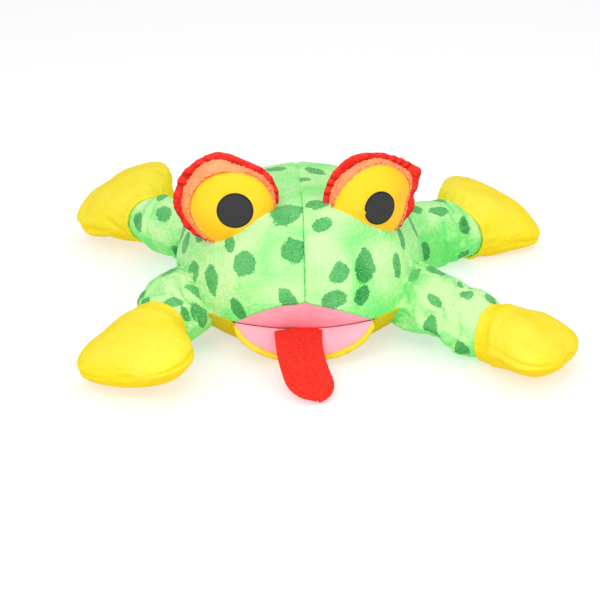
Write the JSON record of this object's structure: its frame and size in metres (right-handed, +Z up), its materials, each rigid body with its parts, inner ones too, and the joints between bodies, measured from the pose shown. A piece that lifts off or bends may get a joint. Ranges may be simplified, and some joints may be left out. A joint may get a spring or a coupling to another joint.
{
  "type": "hand puppet",
  "caption": "Plush frog hand puppet lying on its belly, with a jaw that opens, a felt tongue, raised eyes, limbs that flop and a hand opening at the rear.",
  "frame": {"origin": "middle of the flat patch of belly that the frog rests on, on the trunk's vertical axis", "axes": "+Z up, -Y out of the mouth, +X towards the frog's own left"},
  "size_m": [0.3494, 0.2935, 0.1353],
  "materials": {
    "green_velour": "short pile velour with printed darker green spots",
    "yellow_plush": "soft short plush",
    "belly_plush": "golden yellow plush",
    "pink_velour": "smooth pink velour",
    "red_felt": "matte felt",
    "red_trim": "gathered red pile trim",
    "orange_plush": "fuzzy plush",
    "eye_yellow": "smooth satin-coated cloth",
    "pupil_black": "printed disc, satin",
    "stuffing": "white polyester fibre",
    "lining": "plain woven lining",
    "board": "stiff non-woven board",
    "tape": "woven cotton tape"
  },
  "bodies": {
    "body": {"back_panel_left": "green_velour", "back_panel_right": "green_velour", "belly_panel": "belly_plush", "body_stuffing": "stuffing", "hand_lining": "lining", "hem_binding": "belly_plush", "upper_mouth_lining": "pink_velour", "upper_mouth_board": "board", "finger_pocket": "lining", "mouth_fold_tape": "tape", "eye_dome_left": "eye_yellow", "eye_pupil_left": "pupil_black", "eye_rim_left": "orange_plush", "eye_ruffle_left": "red_trim", "eye_back_left": "green_velour", "eye_stuffing_left": "stuffing", "eye_dome_right": "eye_yellow", "eye_pupil_right": "pupil_black", "eye_rim_right": "orange_plush", "eye_ruffle_right": "red_trim", "eye_back_right": "green_velour", "eye_stuffing_right": "stuffing"},
    "jaw": {"jaw_cover": "belly_plush", "jaw_stuffing": "stuffing", "lower_mouth_lining": "pink_velour", "lower_mouth_board": "board", "thumb_pocket": "lining"},
    "tongue": {"tongue": "red_felt"},
    "arm_root_left": {"arm_seam_tape_left": "tape"},
    "arm_left": {"arm_sleeve_left": "green_velour", "arm_stuffing_left": "stuffing"},
    "mitt_left": {"mitt_cover_left": "yellow_plush", "mitt_stuffing_left": "stuffing"},
    "arm_root_right": {"arm_seam_tape_right": "tape"},
    "arm_right": {"arm_sleeve_right": "green_velour", "arm_stuffing_right": "stuffing"},
    "mitt_right": {"mitt_cover_right": "yellow_plush", "mitt_stuffing_right": "stuffing"},
    "leg_root_left": {"leg_seam_tape_left": "tape"},
    "leg_left": {"leg_sleeve_left": "green_velour", "leg_stuffing_left": "stuffing"},
    "foot_left": {"foot_cover_left": "yellow_plush", "foot_stuffing_left": "stuffing"},
    "leg_root_right": {"leg_seam_tape_right": "tape"},
    "leg_right": {"leg_sleeve_right": "green_velour", "leg_stuffing_right": "stuffing"},
    "foot_right": {"foot_cover_right": "yellow_plush", "foot_stuffing_right": "stuffing"}
  },
  "joints": [
    {"name": "jaw_hinge", "type": "hinge", "parent": "body", "child": "jaw", "pos_m": [0, -0.069, 0.027], "axis": [-1, 0, 0], "range_deg": [-12, 50], "stiffness_Nm_per_rad": 0.02},
    {"name": "tongue_flap", "type": "hinge", "parent": "jaw", "child": "tongue", "pos_m": [-0.004, -0.074, 0.023], "axis": [-1, 0, 0], "range_deg": [-28, 20], "stiffness_Nm_per_rad": 0.004},
    {"name": "shoulder_swing_right", "type": "hinge", "parent": "body", "child": "arm_root_right", "pos_m": [-0.082, -0.037, 0.03], "axis": [0, 0, 1], "range_deg": [-45, 8], "stiffness_Nm_per_rad": 0.02},
    {"name": "shoulder_lift_right", "type": "hinge", "parent": "arm_root_right", "child": "arm_right", "pos_m": [-0.082, -0.037, 0.03], "axis": [-0.9149, 0.4036, 0], "range_deg": [-35, 25], "stiffness_Nm_per_rad": 0.02},
    {"name": "wrist_right", "type": "hinge", "parent": "arm_right", "child": "mitt_right", "pos_m": [-0.097, -0.071, 0.026], "axis": [-0.9261, 0.3209, -0.1985], "range_deg": [-15, 15], "stiffness_Nm_per_rad": 0.01},
    {"name": "shoulder_swing_left", "type": "hinge", "parent": "body", "child": "arm_root_left", "pos_m": [0.082, -0.037, 0.029], "axis": [0, 0, 1], "range_deg": [-8, 45], "stiffness_Nm_per_rad": 0.02},
    {"name": "shoulder_lift_left", "type": "hinge", "parent": "arm_root_left", "child": "arm_left", "pos_m": [0.082, -0.037, 0.029], "axis": [-0.7071, -0.7071, 0], "range_deg": [-35, 25], "stiffness_Nm_per_rad": 0.02},
    {"name": "wrist_left", "type": "hinge", "parent": "arm_left", "child": "mitt_left", "pos_m": [0.122, -0.077, 0.0215], "axis": [-0.5409, -0.8325, 0.1203], "range_deg": [-15, 15], "stiffness_Nm_per_rad": 0.01},
    {"name": "hip_swing_right", "type": "hinge", "parent": "body", "child": "leg_root_right", "pos_m": [-0.065, 0.064, 0.028], "axis": [0, 0, 1], "range_deg": [-20, 25], "stiffness_Nm_per_rad": 0.02},
    {"name": "hip_lift_right", "type": "hinge", "parent": "leg_root_right", "child": "leg_right", "pos_m": [-0.065, 0.064, 0.028], "axis": [0.6207, 0.784, 0], "range_deg": [-35, 25], "stiffness_Nm_per_rad": 0.02},
    {"name": "ankle_right", "type": "hinge", "parent": "leg_right", "child": "foot_right", "pos_m": [-0.113, 0.102, 0.032], "axis": [0.8105, 0.4237, 0.4044], "range_deg": [-15, 15], "stiffness_Nm_per_rad": 0.01},
    {"name": "hip_swing_left", "type": "hinge", "parent": "body", "child": "leg_root_left", "pos_m": [0.065, 0.064, 0.028], "axis": [0, 0, 1], "range_deg": [-25, 20], "stiffness_Nm_per_rad": 0.02},
    {"name": "hip_lift_left", "type": "hinge", "parent": "leg_root_left", "child": "leg_left", "pos_m": [0.065, 0.064, 0.028], "axis": [0.3786, -0.9255, 0], "range_deg": [-35, 25], "stiffness_Nm_per_rad": 0.02},
    {"name": "ankle_left", "type": "hinge", "parent": "leg_left", "child": "foot_left", "pos_m": [0.131, 0.091, 0.023], "axis": [0.7213, -0.6179, -0.313], "range_deg": [-15, 15], "stiffness_Nm_per_rad": 0.01}
  ]
}
